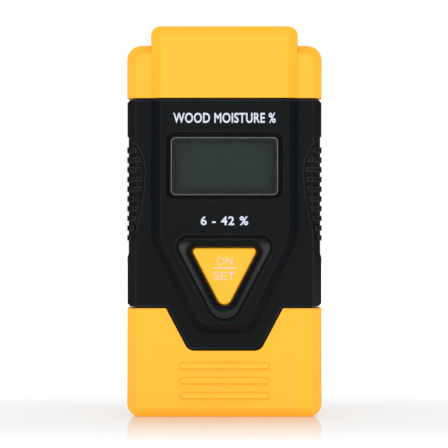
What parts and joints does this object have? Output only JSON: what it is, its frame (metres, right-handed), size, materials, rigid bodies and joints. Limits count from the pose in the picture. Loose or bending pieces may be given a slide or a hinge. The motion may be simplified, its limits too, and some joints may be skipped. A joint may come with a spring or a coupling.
{
  "type": "moisture meter",
  "caption": "Pocket two-pin moisture meter with a pull-off pin cap, ribbed side grips, a small display, one triangular key and a hinged coin cell door.",
  "frame": {"origin": "centre of the bounding box at the bottom, where the tail cap stands on a surface", "axes": "+Z along the meter from the tail to the pin cap, -Y out of the display, +X to the right of someone reading the display"},
  "size_m": [0.04, 0.02, 0.08],
  "materials": {
    "yellow_plastic": "satin moulded ABS",
    "black_plastic": "fine-textured moulded ABS",
    "window": "polished clear acrylic",
    "lcd": "grey-green liquid crystal glass",
    "white_plastic": "satin",
    "contact_rubber": "matt silicone",
    "board": "green solder mask",
    "dark_resin": "moulded epoxy",
    "blue_sleeve": "shrink sleeve",
    "steel": "fine ground",
    "brass": "turned"
  },
  "bodies": {
    "housing": {"front_cover": "black_plastic", "rear_cover": "black_plastic", "tail_cap": "yellow_plastic", "display_window": "window", "lcd_glass": "lcd", "lcd_holder": "white_plastic", "lcd_strip_upper": "contact_rubber", "lcd_strip_lower": "contact_rubber", "circuit_board": "board", "switch_body": "dark_resin", "controller_chip": "dark_resin", "crystal": "steel", "capacitor": "blue_sleeve", "buzzer": "dark_resin", "resistor_1": "dark_resin", "resistor_2": "dark_resin", "resistor_3": "dark_resin", "coin_cell": "steel", "battery_contact_positive": "steel", "battery_contact_negative": "steel", "pin_left": "steel", "pin_right": "steel", "pin_socket_left": "brass", "pin_socket_right": "brass", "pin_contact_left": "brass", "pin_contact_right": "brass", "case_screw_left": "steel", "case_screw_right": "steel", "tail_screw_left": "steel", "tail_screw_right": "steel", "board_screw_left": "steel", "board_screw_right": "steel"},
    "cap": {"pin_cap": "yellow_plastic"},
    "key": {"button": "yellow_plastic"},
    "switch": {"switch_plunger": "white_plastic"},
    "door": {"battery_door": "black_plastic"}
  },
  "joints": [
    {"name": "cap_pull", "type": "slide", "parent": "housing", "child": "cap", "axis": [0, 0, 1], "range_m": [0, 0.018]},
    {"name": "button_press", "type": "slide", "parent": "housing", "child": "key", "axis": [0, 1, 0], "range_m": [0, 0.0005], "stiffness_N_per_m": 500},
    {"name": "plunger_press", "type": "slide", "parent": "housing", "child": "switch", "axis": [0, 1, 0], "range_m": [0, 0.0005]},
    {"name": "door_open", "type": "hinge", "parent": "housing", "child": "door", "pos_m": [0, 0.0088, 0.0302], "axis": [-1, 0, 0], "range_deg": [0, 85]}
  ],
  "couplings": [
    {"joint": "plunger_press", "follows": "button_press", "ratio": 1}
  ]
}
